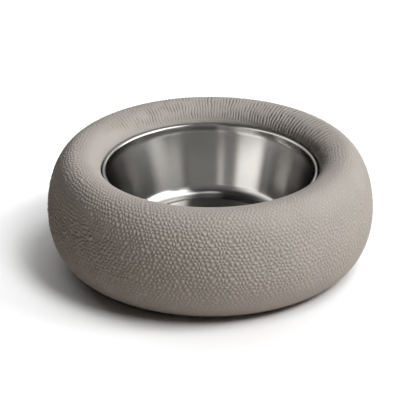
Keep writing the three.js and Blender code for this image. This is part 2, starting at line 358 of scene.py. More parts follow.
class ShapeTree(Graph):
    """A Geometry Nodes tree with named inputs, which turns a mesh into a finished one."""

    ROUND_SIDES = 32

    def __init__(self, name: str, values: dict[str, float]) -> None:
        """Makes the tree and its inputs; those for the mesh and the material are added here.

        Args:
            name: The tree's name.
            values: Value of each input, by name. A whole number makes an input for whole numbers.
        """
        super().__init__(bpy.data.node_groups.new(name, "GeometryNodeTree"))
        self.values = values
        kinds = {"Mesh": "NodeSocketGeometry"}
        for label, value in values.items():
            kinds[label] = "NodeSocketInt" if isinstance(value, int) else "NodeSocketFloat"
        kinds["Material"] = "NodeSocketMaterial"
        for label, kind in kinds.items():
            self.tree.interface.new_socket(label, in_out="INPUT", socket_type=kind)
        self.tree.interface.new_socket("Mesh", in_out="OUTPUT", socket_type="NodeSocketGeometry")
        self.given = self.tree.nodes.new("NodeGroupInput").outputs

    def midway(self, low: Socket, high: Socket) -> Socket:
        """Gives the middle of two numbers."""
        return self.math("MULTIPLY", self.math("ADD", low, high), 0.5)

    def moved(self, shape: Socket, offset: Any) -> Socket:
        """Gives a shape moved by an offset."""
        return self.add("GeometryNodeTransform", {"Geometry": shape, "Translation": offset}).outputs[0]

    def ring(self, shape: Socket, height: Any = 0.0, start: Any = 0.0) -> Socket:
        """Repeats a shape round the axis, as the tree's inputs Count and Circle say.

        Args:
            shape: The shape, with its outward side along +X.
            height: Height of the copies.
            start: Angle of the first copy.

        Returns:
            The copies, turned to face outwards, as real geometry.
        """
        count = self.given["Count"]
        circle = self.add("GeometryNodeMeshCircle", {"Vertices": count, "Radius": self.given["Circle"]})
        points = self.add("GeometryNodeTransform", {
            "Geometry": circle.outputs["Mesh"],
            "Translation": self.joined(z=height),
            "Rotation": self.joined(z=start),
        }).outputs[0]
        index = self.add("GeometryNodeInputIndex").outputs[0]
        step = self.math("DIVIDE", FULL_TURN, count)
        angle = self.math("ADD", self.math("MULTIPLY", index, step), start)
        inputs = {"Points": points, "Instance": shape, "Rotation": self.joined(z=angle)}
        placed = self.add("GeometryNodeInstanceOnPoints", inputs).outputs[0]
        return self.add("GeometryNodeRealizeInstances", {"Geometry": placed}).outputs[0]

    def box(self, length: Any, width: Any, height: Any, centre: Any = (0.0, 0.0, 0.0)) -> Socket:
        """Makes a block with its middle at a place."""
        size = self.joined(length, width, height)
        return self.moved(self.add("GeometryNodeMeshCube", {"Size": size}).outputs["Mesh"], centre)

    def rod(self, radius: Any, height: Any, middle: Any, sides: int = ROUND_SIDES) -> Socket:
        """Makes an upright cylinder on the axis, with its middle at a height."""
        inputs = {"Vertices": sides, "Radius": radius, "Depth": height}
        return self.moved(self.add("GeometryNodeMeshCylinder", inputs).outputs["Mesh"], self.joined(z=middle))

    def cone(self, lower: Any, upper: Any, height: Any, bottom: Any) -> Socket:
        """Makes an upright cone frustum on the axis, standing at a height."""
        inputs = {"Vertices": self.ROUND_SIDES, "Radius Bottom": lower, "Radius Top": upper, "Depth": height}
        return self.moved(self.add("GeometryNodeMeshCone", inputs).outputs["Mesh"], self.joined(z=bottom))

    def cut(self, shape: Socket, *cutters: Socket) -> Socket:
        """Cuts shapes out of a shape."""
        return self.combined("DIFFERENCE", cutters, {"Mesh 1": shape})

    def united(self, *shapes: Socket) -> Socket:
        """Fuses shapes into one solid."""
        return self.combined("UNION", shapes)

    def combined(self, operation: str, shapes: tuple[Socket, ...],
                 inputs: dict[str | int, Any] | None = None) -> Socket:
        """Runs a Boolean on solid shapes.

        Args:
            operation: What the Boolean does.
            shapes: The shapes that go into it.
            inputs: The shape that the others are cut out of, where there is one.

        Returns:
            The solid that comes out.
        """
        node = self.add("GeometryNodeMeshBoolean", inputs, operation=operation, solver="MANIFOLD")
        for shape in shapes:
            self.tree.links.new(shape, node.inputs["Mesh 2"])
        return node.outputs["Mesh"]

    def store(self, shape: Socket, name: str, value: Socket, kind: str) -> Socket:
        """Keeps a value on each point under a name."""
        inputs = {"Geometry": shape, "Name": name, "Value": value}
        return self.add("GeometryNodeStoreNamedAttribute", inputs, data_type=kind, domain="POINT").outputs[0]

    def kept(self, name: str, kind: str = "FLOAT") -> Socket:
        """Reads a value that each point holds under a name."""
        node = self.add("GeometryNodeInputNamedAttribute", {"Name": name}, data_type=kind)
        return node.outputs["Attribute"]

    def finish(self, shape: Socket) -> None:
        """Ends the tree: real geometry with the material on it.

        Args:
            shape: The shape that the tree gives out.
        """
        real = self.add("GeometryNodeRealizeInstances", {"Geometry": shape}).outputs[0]
        dressed = self.add("GeometryNodeSetMaterial", {"Geometry": real, "Material": self.given["Material"]})
        output = self.tree.nodes.new("NodeGroupOutput")
        self.tree.links.new(dressed.outputs[0], output.inputs[0])

    def shape(self, piece: bpy.types.Object, material: bpy.types.Material) -> None:
        """Runs the tree on a piece and keeps the result as its plain mesh.

        Args:
            piece: The piece, with the mesh that goes in.
            material: The finish that the tree puts on.
        """
        modifier = piece.modifiers.new(self.tree.name, "NODES")
        modifier.node_group = self.tree
        wanted = dict(self.values, Material=material)
        for item in self.tree.interface.items_tree:
            if item.in_out == "INPUT" and item.name in wanted:
                modifier[item.identifier] = wanted[item.name]
        depsgraph = bpy.context.evaluated_depsgraph_get()
        made = bpy.data.meshes.new_from_object(
            piece.evaluated_get(depsgraph), preserve_all_data_layers=True, depsgraph=depsgraph)
        piece.modifiers.clear()
        piece.data = made
        made.name = piece.name


def new_object(name: str, mesh: bpy.types.Mesh) -> bpy.types.Object:
    """Puts a mesh into the scene as an object at the origin.

    Args:
        name: The object's name.
        mesh: Its mesh.

    Returns:
        The object.
    """
    piece = bpy.data.objects.new(name, mesh)
    bpy.context.scene.collection.objects.link(piece)
    return piece


# Finishes


class Surface(Graph):
    """A material's node tree with its main shader."""

    def __init__(self, name: str) -> None:
        """Makes a material with an empty tree, a Principled shader and an output.

        Args:
            name: The material's name.
        """
        self.material = bpy.data.materials.new(name)
        self.material.use_nodes = True
        super().__init__(self.material.node_tree)
        self.tree.nodes.clear()
        self.shader = self.add("ShaderNodeBsdfPrincipled")
        self.add("ShaderNodeOutputMaterial", {"Surface": self.shader.outputs[0]})

    def place(self) -> Socket:
        """Gives the place on the piece in metres."""
        return self.add("ShaderNodeTexCoord").outputs["Object"]

    def kept(self, name: str, output: str = "Fac") -> Socket:
        """Gives what the mesh holds under a name: a number, or with the output Vector a vector."""
        return self.add("ShaderNodeAttribute", attribute_name=name, attribute_type="GEOMETRY").outputs[output]

    def set(self, **values: Any) -> None:
        """Sets or links the shader's inputs; an underscore in a name stands for a space."""
        for name, value in values.items():
            self.feed(self.shader.inputs[name.replace("_", " ")], value)

    def cloud(self, size: float, detail: float) -> Socket:
        """Gives a noise whose features have a size in metres."""
        return self.noise(self.place(), 1.0 / size, detail).outputs[0]

    def spread(self, noise: Socket, low: float, high: float) -> Socket:
        """Carries a noise over to the stretch from low to high."""
        return self.ramp(noise, NOISE_LOW, NOISE_HIGH, low, high)

    def bump(self, height: Socket, depth: float, strength: float, under: Socket | None = None) -> Socket:
        """Makes a normal from a height of 0 to 1.

        Args:
            height: The height.
            depth: The relief's depth in metres.
            strength: How much of it shows.
            under: A normal that this one adds to.

        Returns:
            The new normal.
        """
        inputs = {"Height": height, "Distance": depth, "Strength": strength}
        if under is not None:
            inputs["Normal"] = under
        return self.add("ShaderNodeBump", inputs).outputs[0]


class Finish(Protocol):
    """What a piece's surface is made of."""

    def material(self) -> bpy.types.Material:
        """Builds the material."""


def around(middle: float, spread: float) -> tuple[float, float]:
    """Gives the two ends of a stretch by its middle and how far it goes each way."""
    return (middle - spread, middle + spread)


def toned(colour: Colour, factor: float = 1.0, lift: float = 0.0) -> tuple[float, ...]:
    """Gives a colour times a factor, with something added, and with full alpha."""
    return (*(factor * part + lift for part in colour), 1.0)


@dataclass(frozen=True)
class Grain:
    """The moulded grain: round pebbles on the side, which give way to radial folds over the crown."""

    columns: int = 228
    fold_columns: int = 185
    fold_crowding: float = 0.35
    pebble_depth: float = 0.72 * MM
    fold_depth: float = 0.74 * MM
    fold_roundness: float = 0.7
    fold_drift: float = 0.55
    fold_change: float = 0.2
    shallow_fold: float = 0.2
    drift: float = 2.0
    drift_size: float = 7.4 * MM

    # Three waves, whose directions are a third of a turn apart, add up to between -1.5 and 3
    WAVES_LOW: ClassVar[float] = -1.5
    WAVES_HIGH: ClassVar[float] = 3.0

    def row_height(self, radius: np.ndarray) -> np.ndarray:
        """Gives the height of a row of pebbles on a circle, with the pebbles packed closely."""
        return math.sqrt(0.75) * FULL_TURN * radius / self.columns

    def pebbles(self, graph: Graph, turn: Socket, row: Socket, drift: Socket) -> Socket:
        """Builds rows of closely packed domes, as the sum of three waves; it closes after a full turn.

        Args:
            graph: The tree to build in.
            turn: Share of a full turn round the axis.
            row: Number of rows up to here.
            drift: How far the pattern is shifted here, in columns and rows.

        Returns:
            The height, from 0 to 1.
        """
        spread = graph.math("MULTIPLY", turn, float(self.columns))
        parts = graph.parts(graph.vector("ADD", graph.joined(spread, row), drift))
        half_row = graph.math("MULTIPLY", parts["Y"], 0.5)
        rightward = graph.math("SUBTRACT", parts["X"], half_row)
        leftward = graph.math("ADD", parts["X"], half_row)
        total: Any = -self.WAVES_LOW
        for wave in (parts["Y"], rightward, leftward):
            cosine = graph.math("COSINE", graph.math("MULTIPLY", wave, FULL_TURN))
            total = graph.math("ADD", cosine, total)
        level = graph.math("DIVIDE", total, self.WAVES_HIGH - self.WAVES_LOW)
        return graph.math("MAXIMUM", level, 0.0)

    def folds(self, graph: Graph, turn: Socket, drift: Socket) -> Socket:
        """Builds radial ridges with narrow valleys of changing depth, widest apart at the right and left.

        Args:
            graph: The tree to build in.
            turn: Share of a full turn round the axis.
            drift: How far the pattern is shifted here, in columns and rows.

        Returns:
            The height, from 0 to 1.
        """
        parts = graph.parts(drift)
        two_turns = 2.0 * FULL_TURN
        spread = graph.math("MULTIPLY", turn, float(self.fold_columns))
        half_turn_wave = graph.math("SINE", graph.math("MULTIPLY", turn, two_turns))
        crowding = -self.fold_crowding * self.fold_columns / two_turns
        crowded = graph.math("ADD", spread, graph.math("MULTIPLY", half_turn_wave, crowding))
        shifted = graph.math("ADD", crowded, graph.math("MULTIPLY", parts["X"], self.fold_drift))
        wave = graph.math("ABSOLUTE", graph.math("SINE", graph.math("MULTIPLY", shifted, math.pi)))
        valley = graph.math("SUBTRACT", 1.0, graph.math("POWER", wave, self.fold_roundness))
        change = self.fold_change * self.drift
        deep = graph.ramp(parts["Z"], -change, change, self.shallow_fold, 1.0)
        return graph.math("SUBTRACT", 1.0, graph.math("MULTIPLY", valley, deep))

    def sunk(self, graph: Graph, turn: Socket, drift: Socket) -> Socket:
        """Builds how far the surface lies below the grain's top, from the shares that the mesh holds.

        Args:
            graph: The tree to build in.
            turn: Share of a full turn round the axis.
            drift: How far the patterns are shifted here, in columns and rows.

        Returns:
            The way down, from 0 on top to 1 in a valley of whole depth.
        """
        pebbles = self.pebbles(graph, turn, graph.kept("pebble_row"), drift)
        shape = graph.blend(graph.kept("fold_share"), pebbles, self.folds(graph, turn, drift))
        return graph.math("MULTIPLY", graph.math("SUBTRACT", 1.0, shape), graph.kept("grain_share"))


@dataclass(frozen=True)
class PebbledElastomer:
    """Matte warm grey elastomer with a moulded grain, with shade painted a little darker into its valleys."""

    grain: Grain
    colour: Colour = (0.434, 0.402, 0.372)
    # Painted shade: darker colours for the pebbles' valleys and, darker still, for the folds' valleys
    valley_shade_colour: Colour = (0.375, 0.338, 0.302)
    fold_shade_colour: Colour = (0.24, 0.205, 0.175)
    mottle: float = 0.03
    mottle_size: float = 22.0 * MM
    roughness: float = 0.78
    roughness_spread: float = 0.06
    gloss: float = 0.35
    relief: float = 0.8
    skin_size: float = 0.55 * MM
    skin_depth: float = 0.03 * MM
    skin_strength: float = 0.6

    def material(self) -> bpy.types.Material:
        """Builds the material.

        Returns:
            The finished material.
        """
        surface = Surface("pebbled_elastomer")
        cloud = surface.cloud(self.mottle_size, MEDIUM_DETAIL)
        level = surface.spread(cloud, *around(1.0, self.mottle))
        turn = surface.parts(surface.add("ShaderNodeUVMap", uv_map="turned").outputs["UV"])["X"]
        sunk = self.grain.sunk(surface, turn, surface.kept("grain_drift", "Vector"))
        height = surface.math("SUBTRACT", 1.0, sunk)
        relief = surface.math("MULTIPLY", height, surface.kept("fold_relief"))
        folds = surface.kept("fold_share")
        # Painted shade: the valleys are tinted darker, the folds' valleys most, by how far each point lies
        # below the grain's top
        painted_valley_shade = surface.tint(folds, toned(self.valley_shade_colour), toned(self.fold_shade_colour))
        tone = surface.tint(height, painted_valley_shade, toned(self.colour))
        skin = surface.cloud(self.skin_size, SOFT_DETAIL)
        skin_normal = surface.bump(skin, self.skin_depth, self.skin_strength)
        surface.set(
            Base_Color=surface.scaled(tone, level),
            Roughness=surface.spread(skin, *around(self.roughness, self.roughness_spread)),
            Specular_IOR_Level=self.gloss,
            Normal=surface.bump(relief, self.grain.pebble_depth, self.relief, skin_normal),
        )
        return surface.material


@dataclass(frozen=True)
class BrushedSteel:
    """Stainless steel brushed round the axis: fine rings in the relief and the gloss."""

    colour: Colour = (0.51, 0.5, 0.485)
    edge_tint: Colour = (0.35, 0.35, 0.34)
    streak_tone: float = 0.95
    roughness: float = 0.17
    roughness_spread: float = 0.01
    streak_width: float = 0.28 * MM
    streak_length: float = 120.0 * MM
    streak_depth: float = 0.004 * MM
    streak_strength: float = 0.06
    anisotropy: float = 0.9
    anisotropy_turn: float = 0.25

    def material(self) -> bpy.types.Material:
        """Builds the material.

        Returns:
            The finished material.
        """
        surface = Surface("brushed_steel")
        parts = surface.parts(surface.place())
        across = surface.math("DIVIDE", surface.kept("along"), self.streak_width)
        round_x = surface.math("DIVIDE", parts["X"], self.streak_length)
        round_y = surface.math("DIVIDE", parts["Y"], self.streak_length)
        streak_place = surface.joined(round_x, round_y, across)
        streak = surface.noise(streak_place, 1.0, MEDIUM_DETAIL).outputs[0]
        surface.set(
            Base_Color=surface.tint(streak, toned(self.colour, self.streak_tone), toned(self.colour)),
            Metallic=1.0,
            Specular_Tint=toned(self.edge_tint),
            Roughness=surface.spread(streak, *around(self.roughness, self.roughness_spread)),
            Anisotropic=self.anisotropy,
            Anisotropic_Rotation=self.anisotropy_turn,
            Tangent=surface.add("ShaderNodeTangent", direction_type="RADIAL", axis="Z").outputs[0],
            Normal=surface.bump(streak, self.streak_depth, self.streak_strength),
        )
        return surface.material


@dataclass(frozen=True)
class MouldedPlastic:
    """Dark plastic with the fine texture of its mould."""

    name: str
    colour: Colour
    dark_tone: float = 0.88
    light_tone: float = 1.1
    cloud_size: float = 40.0 * MM
    roughness: float = 0.58
    roughness_spread: float = 0.08
    texture_size: float = 0.7 * MM
    texture_softness: float = 0.6
    texture_low: float = 0.1
    texture_high: float = 0.6
    texture_depth: float = 0.05 * MM
    texture_strength: float = 0.5

    def material(self) -> bpy.types.Material:
        """Builds the material.

        Returns:
            The finished material.
        """
        surface = Surface(self.name)
        texture = surface.cells(surface.place(), 1.0 / self.texture_size, self.texture_softness)
        dark, light = toned(self.colour, self.dark_tone), toned(self.colour, self.light_tone)
        low, high = around(self.roughness, self.roughness_spread)
        surface.set(
            Base_Color=surface.tint(surface.cloud(self.cloud_size, MEDIUM_DETAIL), dark, light),
            Roughness=surface.ramp(texture, self.texture_low, self.texture_high, low, high),
            Normal=surface.bump(texture, self.texture_depth, self.texture_strength),
        )
        return surface.material


@dataclass(frozen=True)
class MatteRubber:
    """Matte rubber or silicone with a dusty bloom."""

    name: str
    colour: Colour
    roughness: float = 0.8
    smoother: float = 0.1
    rougher: float = 0.08
    gloss: float = 0.4
    bloom_size: float = 9.0 * MM
    bloom_low: float = 0.45
    bloom_high: float = 0.8
    dust_tone: float = 1.5
    dust_lift: float = 0.01
    grain_size: float = 0.45 * MM
    grain_depth: float = 0.03 * MM
    grain_strength: float = 0.5

    def material(self) -> bpy.types.Material:
        """Builds the material.

        Returns:
            The finished material.
        """
        surface = Surface(self.name)
        bloom = surface.cloud(self.bloom_size, FINE_DETAIL)
        dust = surface.ramp(bloom, self.bloom_low, self.bloom_high)
        dusty = toned(self.colour, self.dust_tone, self.dust_lift)
        grain = surface.cloud(self.grain_size, MEDIUM_DETAIL)
        surface.set(
            Base_Color=surface.tint(dust, toned(self.colour), dusty),
            Roughness=surface.spread(bloom, self.roughness - self.smoother, self.roughness + self.rougher),
            Specular_IOR_Level=self.gloss,
            Normal=surface.bump(grain, self.grain_depth, self.grain_strength),
        )
        return surface.material


@dataclass(frozen=True)
class ZincPlate:
    """Zinc-plated screw steel, slightly cloudy."""

    colour: Colour = (0.5, 0.5, 0.49)
    dull_tone: float = 0.8
    roughness: float = 0.36
    smoother: float = 0.08
    rougher: float = 0.1
    cloud_size: float = 1.6 * MM
    cloud_depth: float = 0.01 * MM
    cloud_strength: float = 0.3

    def material(self) -> bpy.types.Material:
        """Builds the material.

        Returns:
            The finished material.
        """
        surface = Surface("zinc_plate")
        cloud = surface.cloud(self.cloud_size, FINE_DETAIL)
        surface.set(
            Base_Color=surface.tint(cloud, toned(self.colour, self.dull_tone), toned(self.colour)),
            Metallic=1.0,
            Roughness=surface.spread(cloud, self.roughness - self.smoother, self.roughness + self.rougher),
            Normal=surface.bump(cloud, self.cloud_depth, self.cloud_strength),
        )
        return surface.material


# Sizes and rules that the pieces share


@dataclass(frozen=True)
class FrameSizes:
    """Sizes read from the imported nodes."""

    outer_radius: float
    crown_height: float
    cover_bottom: float
    rim_radius: float
    rim_top: float
    bowl_underside: float
    ring_radius: float
    ring_bottom: float
    ring_top: float
    plate_radius: float
    plate_bottom: float
    frame_bottom: float
    frame_top: float
    fastener_circle: float
    foot_radius: float
    screw_head_radius: float
    screw_tip: float

    @classmethod
    def read(cls) -> Self:
        """Reads the boxes of the nodes.

        Returns:
            The sizes.
        """
        cover_low, cover_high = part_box("body_cover")
        bowl_low, bowl_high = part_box("bowl")
        ring_low, ring_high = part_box("seat_ring")
        plate_low, plate_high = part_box("base_plate")
        frame_low, frame_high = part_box("well_frame")
        screw_low, screw_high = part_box("base_screw_1")
        foot_low, foot_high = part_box("foot_2")
        return cls(
            outer_radius=cover_high[0],
            crown_height=cover_high[2],
            cover_bottom=cover_low[2],
            rim_radius=bowl_high[0],
            rim_top=bowl_high[2],
            bowl_underside=bowl_low[2],
            ring_radius=ring_high[0],
            ring_bottom=ring_low[2],
            ring_top=ring_high[2],
            plate_radius=plate_high[0],
            plate_bottom=plate_low[2],
            frame_bottom=frame_low[2],
            frame_top=frame_high[2],
            fastener_circle=(foot_low[1] + foot_high[1]) / 2.0,
            foot_radius=(foot_high[1] - foot_low[1]) / 2.0,
            screw_head_radius=(screw_high[0] - screw_low[0]) / 2.0,
            screw_tip=screw_high[2],
        )


@dataclass
class Piece:
    """A finished piece: its mesh and finish, the body that it moves with and the nodes it stands for."""

    sizes: FrameSizes

    name: ClassVar[str]
    body: ClassVar[Body] = Body.BASE
    slot: ClassVar[Slot]
    nodes: ClassVar[tuple[str, ...]]

    def mesh(self) -> bpy.types.Mesh:
        """Makes the mesh that the piece starts from."""
        raise NotImplementedError

    def finish(self) -> Finish:
        """Gives the piece's finish."""
        raise NotImplementedError

    def tree(self) -> ShapeTree | None:
        """Builds the tree that finishes the mesh, where the piece needs one."""
        return None

    def build(self) -> None:
        """Builds the piece and hands it to the frame."""
        piece = new_object(self.name, self.mesh())
        material = self.finish().material()
        tree = self.tree()
        if tree is None:
            piece.data.materials.append(material)
        else:
            tree.shape(piece, material)
        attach(piece, self.body.value)
        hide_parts(*self.nodes)
        log.info("%s: %d faces, on %s", piece.name, len(piece.data.polygons), self.body.value)


def smooth_step(value: np.ndarray, start: Any, end: Any) -> np.ndarray:
    """Gives 0 before start, 1 after end and a smooth rise between them."""
    share = np.clip((value - start) / (end - start), 0.0, 1.0)
    return share * share * (3.0 - 2.0 * share)


def mixed(first: float, second: float, share: np.ndarray) -> np.ndarray:
    """Gives the numbers that lie a share of the way from the first to the second."""
    return first + (second - first) * share


@dataclass(frozen=True)
class Rise:
    """A smooth rise from 0 at one value to 1 at another."""

    start: float
    end: float

    def share(self, value: np.ndarray, shift: Any = 0.0) -> np.ndarray:
        """Gives how far the rise has come at each value, with both of its ends shifted."""
        return smooth_step(value, self.start + shift, self.end + shift)


@dataclass(frozen=True)
class Side:
    """One side of the part, by its middle and by the angles off it where it is whole and where it ends."""

    middle_deg: float
    whole_deg: float
    end_deg: float

    def share(self, segments: int, narrowing: Any = 0.0) -> np.ndarray:
        """Gives each direction's share in the side.

        Args:
            segments: Number of directions, counted from the right towards the rear.
            narrowing: How many degrees the side loses at each end; a column of them gives a row for each.

        Returns:
            The shares, from 0 to 1.
        """
        turn = np.degrees(np.arange(segments) * (FULL_TURN / segments))
        off = np.abs((turn - self.middle_deg + 180.0) % 360.0 - 180.0)
        return 1.0 - smooth_step(off, self.whole_deg - narrowing, self.end_deg - narrowing)


# Pieces


@dataclass
class BodyCover(Piece):
    """The puffy ring: a hollow moulding whose outside has a pebble grain that runs into radial folds."""

    name = "grained_cover"
    slot = Slot.COVER
    nodes = ("body_cover",)

    opening_radius: float = 80.0 * MM
    crown_radius: float = 97.7 * MM
    equator_height: float = 39.0 * MM
    rim_height: float = 68.7 * MM
    wall: float = 3.5 * MM
    base_radius: float = 97.5 * MM
    recess_radius: float = 96.0 * MM
    recess_ease: float = 0.3 * MM
    upper_lip_radius: float = 88.0 * MM
    groove_radius: float = 85.3 * MM
    groove_top: float = 65.7 * MM
    groove_ease: float = 0.5 * MM
    hook_radius: float = 83.0 * MM
    hook_top: float = 62.8 * MM
    hook_bottom: float = 59.8 * MM
    lower_lip_radius: float = 90.3 * MM
    lower_lip_bottom: float = 4.5 * MM
    lower_lip_top: float = 7.5 * MM
    segments: int = 676
    lower_steps: int = 41
    upper_steps: int = 51
    roll_steps: int = 22
    cavity_steps: int = 3
    grain: Grain = Grain()
    # Heights over which the grain and the folds set in
    grain_rise: Rise = Rise(1.5 * MM, 37.0 * MM)
    fold_rise: Rise = Rise(79.5 * MM, 82.8 * MM)
    # Degrees down the roll over which the folds, the grain among them and the grain elsewhere fade
    fold_fade: Rise = Rise(64.0, 82.0)
    roll_fade: Rise = Rise(58.0, 86.0)
    plain_fade: Rise = Rise(2.0, 38.0)
    # The folded side, at the rear, which is narrower on the crown than down the roll
    fold_most: float = 0.87
    fold_side: Side = Side(70.0, 56.0, 98.0)
    narrowing_deg: float = 20.0
    narrowing_fade: Rise = Rise(5.0, 40.0)
    # The right, where the folds look deeper and reach further down the roll
    deep_side: Side = Side(22.0, 26.0, 52.0)
    deep_share: float = 1.0
    deep_reach_deg: float = 14.0
    # The front right, where the pebbles are calmer
    calm_side: Side = Side(-15.0, 25.0, 80.0)
    calm_share: float = 0.32
    # The left, where the pebbles are deeper, up to some height
    bold_side: Side = Side(-170.0, 30.0, 85.0)
    bold_share: float = 1.0
    bold_fade: Rise = Rise(50.0 * MM, 68.0 * MM)
    # The crown, where the pebbles are calmer all round
    crown_calm: float = 0.27
    crown_rise: Rise = Rise(62.0 * MM, 80.0 * MM)

    def outline(self) -> np.ndarray:
        """Traces the cover's section.

        Returns:
            Its points, starting at the inner corner of its bottom edge.
        """
        bottom, crown, outer = self.sizes.cover_bottom, self.sizes.crown_height, self.sizes.outer_radius
        side_inner = outer - self.wall
        crown_inner = crown - self.wall
        foot = (self.base_radius, self.equator_height)
        shoulder = (self.crown_radius, self.equator_height)
        roll = (self.crown_radius, self.rim_height)
        section = Section((self.recess_radius, bottom, self.recess_ease))
        section.arc(foot, outer - self.base_radius, self.equator_height - bottom, -90.0, 0.0,
                    self.lower_steps)
        section.arc(shoulder, outer - self.crown_radius, crown - self.equator_height, 0.0, 90.0,
                    self.upper_steps)
        section.arc(roll, self.crown_radius - self.opening_radius, crown - self.rim_height, 90.0, 180.0,
                    self.roll_steps)
        section.corner(self.opening_radius, self.groove_top, self.groove_ease)
        section.corner(self.groove_radius, self.groove_top)
        section.corner(self.groove_radius, self.hook_top)
        section.corner(self.hook_radius, self.hook_top)
        section.corner(self.hook_radius, self.hook_bottom)
        section.corner(self.upper_lip_radius, self.hook_bottom)
        section.arc(roll, self.crown_radius - self.upper_lip_radius, crown_inner - self.rim_height,
                    180.0, 90.0, self.cavity_steps)
        section.arc(shoulder, side_inner - self.crown_radius, crown_inner - self.equator_height,
                    90.0, 0.0, self.cavity_steps)
        section.arc(foot, side_inner - self.base_radius, self.equator_height - self.lower_lip_top,
                    0.0, -90.0, self.cavity_steps)
        section.corner(self.lower_lip_radius, self.lower_lip_top)
        section.corner(self.lower_lip_radius, self.lower_lip_bottom)
        section.corner(self.recess_radius, self.lower_lip_bottom)
        return section.outline()

    def mesh(self) -> bpy.types.Mesh:
        """Makes the cover as it is before the grain is pressed in.

        Returns:
            The smooth mesh, with each point's share of grain and of folds.
        """
        outline = self.outline()
        mesh = turned_mesh("body_cover_smooth", outline, self.segments)
        # A row for each ring of points, a column for each direction round the axis
        radius, height = outline.T[:, :, None]
        outside = np.zeros(radius.shape, dtype=bool)
        first = int(np.argmax(radius > self.base_radius - AXIS_TOLERANCE))
        outside[first:first + self.lower_steps + self.upper_steps + self.roll_steps + 1] = True
        rolled = outside & (radius < self.crown_radius) & (height > self.rim_height)
        sunk = np.clip((self.crown_radius - radius) / (self.crown_radius - self.opening_radius), 0.0, 1.0)
        angle = np.degrees(np.arcsin(sunk))
        narrowing = self.narrowing_deg * (1.0 - self.narrowing_fade.share(angle))
        folded = self.fold_side.share(self.segments, narrowing)
        deep = self.deep_side.share(self.segments)
        reach = self.deep_reach_deg * deep
        drawn_out = 1.0 - self.fold_fade.share(angle, reach)
        rising = self.fold_rise.share(height) * outside
        folds = self.fold_most * folded * np.where(rolled, drawn_out, rising)
        fade_start = mixed(self.plain_fade.start, self.roll_fade.start, folded) + reach
        fade_end = mixed(self.plain_fade.end, self.roll_fade.end, folded) + reach
        faded = smooth_step(angle, fade_start, fade_end)
        bolder = self.bold_share * (1.0 - self.bold_fade.share(height))
        bold = bolder * self.bold_side.share(self.segments)
        calm = self.calm_share * self.calm_side.share(self.segments)
        quiet = self.crown_calm * self.crown_rise.share(height)
        pebbled = 1.0 - folds
        grain = self.grain_rise.share(height) * outside
        # The grain's share sets both the relief's depth and how dark the painted valley shade is; the left's
        # bold share and the front right's calm share change both
        strong = grain * (1.0 + (bold - calm) * pebbled) * (1.0 - quiet * pebbled)
        self._keep(mesh, "grain_share", strong * np.where(rolled, 1.0 - faded, 1.0))
        self._keep(mesh, "fold_share", folds)
        self._keep(mesh, "fold_relief", 1.0 + self.deep_share * deep * folds)
        self._keep(mesh, "pebble_row", self._rows(outline)[:, None])
        return mesh

    def _rows(self, outline: np.ndarray) -> np.ndarray:
        """Counts the rows of pebbles from the section's start to each of its points.

        Args:
            outline: The section's points.

        Returns:
            The number of rows up to each point.
        """
        row_height = self.grain.row_height(outline[:, 0])
        between = (row_height[1:] + row_height[:-1]) / 2.0
        lengths = np.hypot(*np.diff(outline, axis=0).T)
        return np.concatenate(([0.0], np.cumsum(lengths / between)))

    def _keep(self, mesh: bpy.types.Mesh, name: str, values: np.ndarray) -> None:
        """Writes a value for each point of the cover.

        Args:
            mesh: The cover's mesh.
            name: The name that the values go under.
            values: A row for each ring, with a value for each direction or one for all.
        """
        everywhere = np.broadcast_to(values, (len(values), self.segments))
        attribute = mesh.attributes.new(name, "FLOAT", "POINT")
        attribute.data.foreach_set("value", everywhere.astype(np.float32).ravel())

    def finish(self) -> Finish:
        """Gives the cover's finish."""
        return PebbledElastomer(self.grain)

    def tree(self) -> ShapeTree:
        """Builds the tree that presses the pebbles and the radial folds into the smooth cover.

        Returns:
            The tree, with its values.
        """
        tree = ShapeTree("pebble_grain", {
            "Pebble Depth": self.grain.pebble_depth,
            "Fold Depth": self.grain.fold_depth,
            "Drift": self.grain.drift,
            "Drift Size": self.grain.drift_size,
        })
        given = tree.given
        place = tree.add("GeometryNodeInputPosition").outputs[0]
        parts = tree.parts(place)
        turn = tree.math("DIVIDE", tree.math("ARCTAN2", parts["Y"], parts["X"]), FULL_TURN)
        per_metre = tree.math("DIVIDE", 1.0, given["Drift Size"])
        cloud = tree.noise(place, per_metre, PLAIN_DETAIL).outputs["Color"]
        drift = tree.scaled(tree.vector("SUBTRACT", cloud, NOISE_MIDDLE), given["Drift"])
        marked = tree.store(given["Mesh"], "grain_drift", drift, "FLOAT_VECTOR")
        sunk = self.grain.sunk(tree, turn, tree.kept("grain_drift", "FLOAT_VECTOR"))
        depth = tree.blend(tree.kept("fold_share"), given["Pebble Depth"], given["Fold Depth"])
        inward = tree.math("MULTIPLY", tree.math("MULTIPLY", sunk, depth), -1.0)
        offset = tree.scaled(tree.add("GeometryNodeInputNormal").outputs[0], inward)
        pressed = tree.add("GeometryNodeSetPosition", {"Geometry": marked, "Offset": offset}).outputs[0]
        tree.finish(tree.add("GeometryNodeSetShadeSmooth", {"Geometry": pressed}).outputs[0])
        return tree


